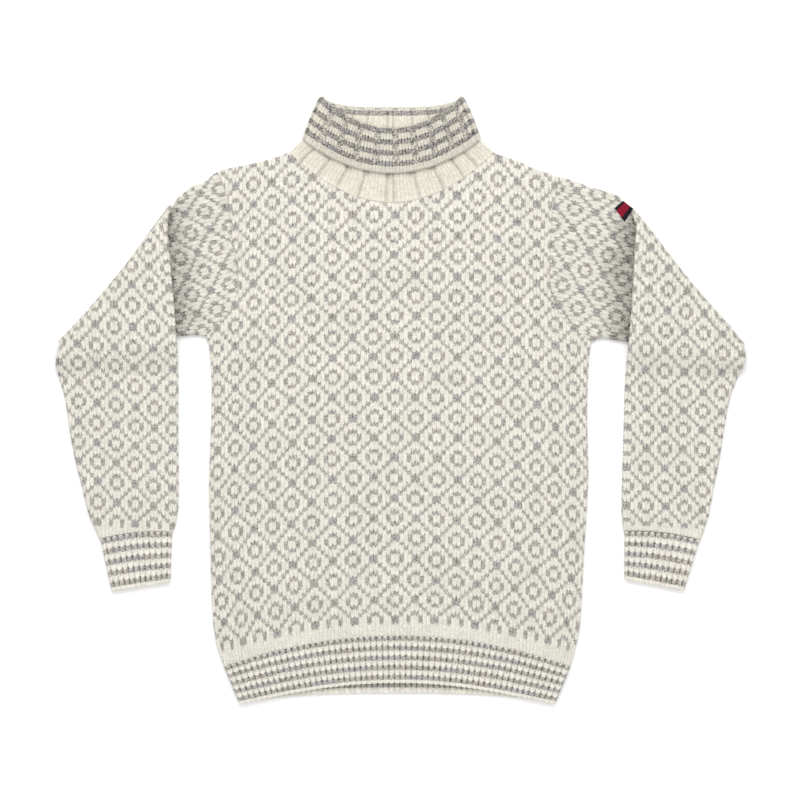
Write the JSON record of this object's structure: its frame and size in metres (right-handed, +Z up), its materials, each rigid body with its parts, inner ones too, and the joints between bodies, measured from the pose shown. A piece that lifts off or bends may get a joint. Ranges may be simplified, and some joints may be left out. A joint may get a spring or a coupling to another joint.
{
  "type": "high-neck wool sweater",
  "caption": "Chunky cream and grey patterned wool sweater with a folded roll collar, laid flat with both sleeves folded down over themselves.",
  "frame": {"origin": "middle of the garment's footprint, on the surface it lies on", "axes": "+Z up out of the surface, +Y from the hem to the collar, +X towards the wearer's left sleeve; the garment lies on its back"},
  "size_m": [0.8928, 0.7898, 0.0174],
  "materials": {
    "knit_back": "chunky stranded wool knit in cream and warm grey, matt with a soft fuzz",
    "knit_front": "chunky stranded wool knit in cream and warm grey, matt with a soft fuzz",
    "rib_hem_back": "ribbed wool knit in cream and warm grey stripes, matt",
    "rib_hem_front": "ribbed wool knit in cream and warm grey stripes, matt",
    "knit_sleeve_left": "chunky stranded wool knit in cream and warm grey, matt with a soft fuzz",
    "knit_sleeve_right": "chunky stranded wool knit in cream and warm grey, matt with a soft fuzz",
    "rib_cuff_left": "ribbed wool knit in cream and warm grey stripes, matt",
    "rib_cuff_right": "ribbed wool knit in cream and warm grey stripes, matt",
    "collar_rib": "wide-ribbed wool knit, cream with grey stripes, matt",
    "patch_weave": "tight dark red woven tape, slight sheen"
  },
  "bodies": {
    "root": {"back": "knit_back", "front": "knit_front", "hem_rib_back": "rib_hem_back", "hem_rib_front": "rib_hem_front", "sleeve_left": "knit_sleeve_left", "sleeve_right": "knit_sleeve_right", "cuff_left": "rib_cuff_left", "cuff_right": "rib_cuff_right", "collar": "collar_rib", "shoulder_patch": "patch_weave"}
  },
  "joints": []
}
